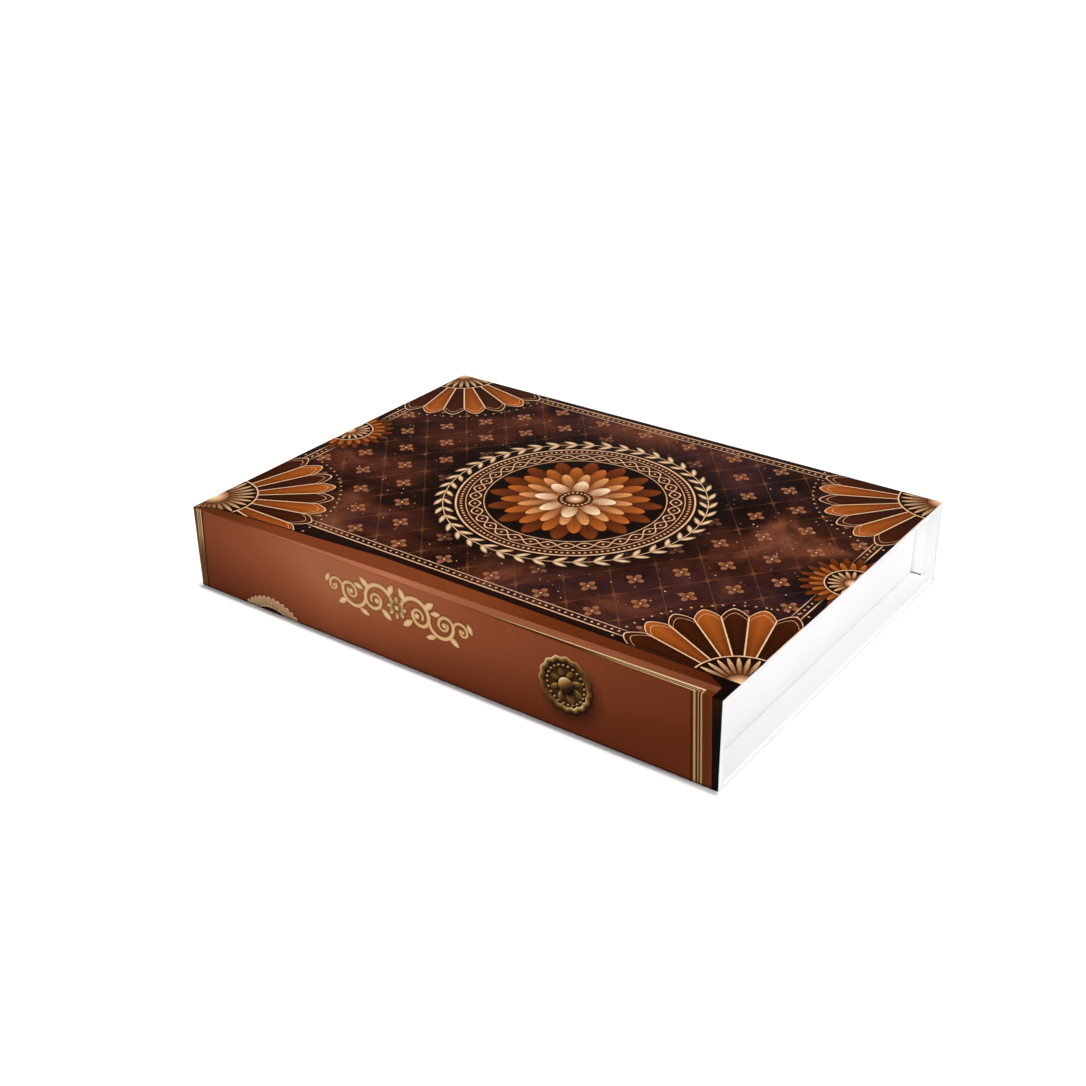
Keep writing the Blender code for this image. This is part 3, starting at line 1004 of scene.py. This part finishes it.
PAPER = paper_finish("white_paper", ink(246, 246, 246), ink(251, 251, 251))
NODE_PAPERS = {
    # The spine's lining is the same white paper as the rest, made a little greyer: painted shade for the
    # recess behind the tray.
    "spine_lining": paper_finish("spine_paper_painted_shade", ink(241, 241, 241), ink(247, 247, 247)),
    "tray_floor_liner": paper_finish("liner_paper", ink(231, 231, 231), ink(239, 239, 239)),
    "flap_lining": paper_finish("flap_paper", ink(246, 246, 246), ink(251, 251, 251), over_magnets),
}
LID_LAYERS = (
    dusk, lattice, gold_dust, border, side_rosettes, corner_fans, wreath, braided_ring, rosette,
    lid_front_band,
)
FINISHES = {
    "lid_print": Print("lid_print", *LID_LAYERS, brightness=1.18).done(),
    "flap_print": Print("flap_print", flap_panel, low_shell, flap_scroll, cast_boss, flap_foot_painted_shade).done(),
    "spine_print": Print("spine_print", plain_brown, spine_frame).done(),
    "base_print": Print("base_print", plain_brown, base_frame).done(),
    "white_paper": PAPER,
    "grey_board": fibre_finish(
        "grey_board", 0.85, (0.25, 1, 1), ink(148, 142, 132), ink(182, 176, 166), bump=0.0001,
    ),
    "kraft_paper": fibre_finish(
        "kraft_paper", 0.80, (1, 1, 0.3), ink(150, 118, 84), ink(190, 158, 118), bump=0.00006,
    ),
    "nickel": metal_finish("nickel", 0.18, ink(196, 190, 180), ink(226, 222, 214)),
    "steel": metal_finish("steel", 0.34, ink(168, 170, 172), ink(204, 206, 208)),
}
for part in frame["record"]["subparts"]:
    node = frame["nodes"][part["node"]]
    node.data.materials.clear()
    node.data.materials.append(NODE_PAPERS.get(part["node"], FINISHES[part["material_slot"]]))


def add_piece(name, shape, *materials):
    """Turns a finished bmesh into an object with smooth rounds and sharp corners."""
    mesh = bpy.data.meshes.new(name)
    shape.to_mesh(mesh)
    shape.free()
    mesh.shade_smooth()
    mesh.set_sharp_from_angle(angle=math.radians(30))
    for material in materials:
        mesh.materials.append(material)
    piece = bpy.data.objects.new(name, mesh)
    bpy.context.scene.collection.objects.link(piece)
    return piece


def bend(shape, vertex, centre, target, steps):
    """Draws an arc from vertex to target round centre, and gives its last vertex."""
    start = vertex.co - centre
    finish = target - centre
    drawn = bmesh.ops.spin(
        shape, geom=[vertex], cent=centre, axis=start.cross(finish).normalized(),
        angle=start.angle(finish), steps=steps,
    )
    return next(item for item in drawn["geom_last"] if isinstance(item, bmesh.types.BMVert))


def run(shape, vertex, target):
    """Draws a straight line from vertex to target, and gives its last vertex."""
    drawn = bmesh.ops.extrude_vert_indiv(shape, verts=[vertex])
    drawn["verts"][0].co = target
    return drawn["verts"][0]


def sweep(shape, way, thickness):
    """Sweeps the drawn line one way and gives the sheet its thickness."""
    swept = bmesh.ops.extrude_edge_only(shape, edges=shape.edges[:])
    moved = [item for item in swept["geom"] if isinstance(item, bmesh.types.BMVert)]
    bmesh.ops.translate(shape, verts=moved, vec=way)
    bmesh.ops.recalc_face_normals(shape, faces=shape.faces[:])
    bmesh.ops.solidify(shape, geom=shape.faces[:], thickness=thickness)
    bmesh.ops.recalc_face_normals(shape, faces=shape.faces[:])


def crease_points(corner, along, inward):
    """Of a rounded crease: where its sheet ends, where the rounding meets the flat, and its centre."""
    centre = corner + (along + inward) * CREASE_RADIUS
    share = math.pi / 4 - CREASE_GAP / 2 / CREASE_RADIUS
    flat = corner + along * CREASE_RADIUS
    end = centre - inward * CREASE_RADIUS * math.cos(share) - along * CREASE_RADIUS * math.sin(share)
    return end, flat, centre


def cover_sheet(name, body, start, end, outward, creased_start, creased_end):
    """The printed sheet over one board, from start to end across it, rounded where it is creased."""
    start, end, outward = Vector(start), Vector(end), Vector(outward)
    along = (end - start).normalized()
    reach = (end - start).length
    inward = -outward
    shape = bmesh.new()
    if creased_start:
        edge, flat, centre = crease_points(start, along, inward)
        tip = bend(shape, shape.verts.new(edge), centre, flat, CREASE_STEPS)
    else:
        tip = shape.verts.new(start)
    if creased_end:
        edge, flat, centre = crease_points(end, -along, inward)
        tip = run(shape, tip, flat)
        bend(shape, tip, centre, edge, CREASE_STEPS)
    else:
        run(shape, tip, end)
    bmesh.ops.translate(shape, verts=shape.verts[:], vec=(-HALF_LENGTH, 0, 0))
    sweep(shape, (HALF_LENGTH * 2, 0, 0), COVER_SHEET)
    for face in shape.faces:
        across = (face.calc_center_median() - start).dot(along)
        ahead = face.normal.dot(along)
        folded_start = creased_start and across < CREASE_RADIUS and ahead < -FOLD_FACING
        folded_end = creased_end and across > reach - CREASE_RADIUS and ahead > FOLD_FACING
        printed = face.normal.dot(outward) > 0.5 or folded_start or folded_end
        face.material_index = 0 if printed else 1
    piece = add_piece(name + "_sheet", shape, FINISHES[name], PAPER)
    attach(piece, body)
    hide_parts(name)


cover_sheet("lid_print", "lid", (0, FRONT, TOP), (0, BACK, TOP), (0, 0, 1), True, True)
cover_sheet("flap_print", "flap", (0, FRONT, FLAP_LOW.z), (0, FRONT, TOP), (0, -1, 0), False, True)
cover_sheet("spine_print", "spine", (0, BACK, TOP), (0, BACK, GROUND), (0, 1, 0), True, True)
cover_sheet("base_print", "base", (0, BACK, GROUND), (0, BASE_LOW.y, GROUND), (0, 0, -1), True, False)


def wrap_overlap():
    """Where the tray's wrap overlaps its own end: up the right wall, over the rim and down inside."""
    stand_off = LAP_PAPER + LAP_GLUE
    edge = TRAY_HIGH.y - LAP_FROM_CORNER - LAP_WIDTH
    outer_rim = Vector((TRAY_HIGH.x, edge, TRAY_HIGH.z))
    inner_rim = Vector((WALL_LOW.x - (TRAY_HIGH.x - WALL_HIGH.x), edge, TRAY_HIGH.z))
    out = Vector((stand_off, 0, 0))
    over = Vector((0, 0, stand_off))
    shape = bmesh.new()
    start = shape.verts.new((outer_rim.x + stand_off, edge, TRAY_LOW.z + LAP_FROM_CORNER))
    tip = run(shape, start, outer_rim + out)
    tip = bend(shape, tip, outer_rim, outer_rim + over, CREASE_STEPS)
    tip = run(shape, tip, inner_rim + over)
    tip = bend(shape, tip, inner_rim, inner_rim - out, CREASE_STEPS)
    run(shape, tip, (inner_rim.x - stand_off, edge, LINER_HIGH.z + LAP_FROM_CORNER))
    sweep(shape, (0, LAP_WIDTH, 0), LAP_PAPER)
    piece = add_piece("tray_wrap_overlap", shape, PAPER)
    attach(piece, "base")


wrap_overlap()


def paper_strip(name, body, start, end, length):
    """A flat strip of thin paper: start and end give its cut edge, and it runs length along x."""
    shape = bmesh.new()
    run(shape, shape.verts.new(start), Vector(end))
    sweep(shape, (length, 0, 0), LAP_PAPER)
    piece = add_piece(name, shape, PAPER)
    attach(piece, body)


def spine_papers():
    """The strip on the spine behind the tray, and the lining's two tabs in the crease below its ends."""
    face = SPINE_LOW.y - LAP_GLUE
    low = GROUND + VEE_EDGE + STRIP_FROM_CREASE
    high = TOP - VEE_EDGE - STRIP_FROM_CREASE
    half = TRAY_HIGH.x + STRIP_PAST_TRAY
    paper_strip("spine_strip", "spine", (-half, face, low), (-half, face, high), half * 2)
    tab = HALF_LENGTH - half
    for name, start in (("crease_tab_left", -HALF_LENGTH), ("crease_tab_right", half)):
        edge = Vector((start, BACK - VEE_EDGE, LEDGE_HIGH.z))
        paper_strip(name, "base", edge, (start, SPINE_LOW.y - LAP_PAPER, GROUND + VEE_EDGE), tab)


spine_papers()


def studio_lamps():
    """Even light: one lamp above and a little behind, and low soft ones from the right and the front."""
    for name, azimuth, elevation, spread, level in (
        ("lamp_above", 180, 87.2, 2.2, 1.05),
        ("lamp_right", -92, 46, 3, 1.33),
        ("lamp_front", -8, 8, 16, 0.82),
    ):
        light = bpy.data.lights.new(name, "SUN")
        light.energy = level
        light.angle = math.radians(spread)
        lamp = bpy.data.objects.new(name, light)
        bpy.context.scene.collection.objects.link(lamp)
        turn, rise = math.radians(azimuth), math.radians(elevation)
        toward = Vector((math.sin(turn) * math.cos(rise), math.cos(turn) * math.cos(rise), -math.sin(rise)))
        lamp.rotation_euler = toward.to_track_quat("-Z", "Y").to_euler()


def ray_kinds(tree):
    """1 for rays straight from the camera, and 1 for those by way of a reflection or through glass."""
    paths = tree.nodes.new("ShaderNodeLightPath")
    names = ("Is Camera Ray", "Is Glossy Ray", "Is Transmission Ray")
    direct, glossy, through = (Amount(tree, paths.outputs[name]) for name in names)
    return direct, glossy | through


def floor():
    """A white floor that glows a little for the camera, most beside the box's two ends."""
    shape = bmesh.new()
    bmesh.ops.create_circle(shape, cap_ends=True, segments=64, radius=FLOOR_RADIUS)
    bmesh.ops.translate(shape, verts=shape.verts[:], vec=(0, 0, GROUND - FLOOR_GAP))
    page = Finish("floor", roughness=0.9, specular=0.0)
    cloud = page.noise(3)
    page.lay(1.0, page.tones(cloud, (0.0, ink(247, 247, 248)), (1.0, ink(250, 250, 250))))
    direct, mirrored = ray_kinds(page.tree)
    page.shader.inputs["Emission Color"].default_value = (1, 1, 1, 1)
    beside = abs(page.x) - HALF_LENGTH
    away = beside | (FRONT - page.y) | (page.y - BACK)
    glow = ramp(away, 0.0018, 0.0050) * 0.20 + ramp(beside, 0.0, 0.006) * 0.14
    page.put((direct | mirrored) * glow, page.shader.inputs["Emission Strength"])
    add_piece("floor", shape, page.done())


def surroundings():
    """White where the camera looks, darker overhead in reflections, and one soft level for the light."""
    world = bpy.data.worlds.new("surroundings")
    bpy.context.scene.world = world
    world.use_nodes = True
    tree = world.node_tree
    background = tree.nodes["Background"]
    background.inputs["Color"].default_value = (1, 1, 1, 1)
    coordinates = tree.nodes.new("ShaderNodeTexCoord")
    split = tree.nodes.new("ShaderNodeSeparateXYZ")
    tree.links.new(coordinates.outputs["Generated"], split.inputs[0])
    height = Amount(tree, split.outputs[2])
    backdrop = 1.0 - ramp(height, 0.08, 0.30) * 0.90
    direct, mirrored = ray_kinds(tree)
    strength = direct * (1.0 - AMBIENT) + mirrored * (backdrop - AMBIENT) + AMBIENT
    tree.links.new(strength.socket, background.inputs["Strength"])


def camera():
    """The photograph's camera, turned about its own axis by its roll."""
    forward = Vector((
        -math.sin(CAMERA_AZIMUTH) * math.cos(CAMERA_ELEVATION),
        math.cos(CAMERA_AZIMUTH) * math.cos(CAMERA_ELEVATION),
        -math.sin(CAMERA_ELEVATION),
    ))
    right = forward.cross(Vector((0, 0, 1))).normalized()
    up = right.cross(forward)
    turned_right = right * math.cos(CAMERA_ROLL) + up * math.sin(CAMERA_ROLL)
    turned_up = up * math.cos(CAMERA_ROLL) - right * math.sin(CAMERA_ROLL)
    lens = bpy.data.cameras.new("camera")
    lens.sensor_width = SENSOR_WIDTH
    lens.lens = FOCAL_PIXELS / PHOTO_PIXELS * SENSOR_WIDTH
    lens.clip_start = 0.01
    viewer = bpy.data.objects.new("camera", lens)
    bpy.context.scene.collection.objects.link(viewer)
    axes = Matrix((turned_right, turned_up, -forward)).transposed().to_4x4()
    viewer.matrix_world = Matrix.Translation(CAMERA_PLACE) @ axes
    bpy.context.scene.camera = viewer


floor()
studio_lamps()
surroundings()
camera()
bpy.context.scene.view_settings.view_transform = "Standard"
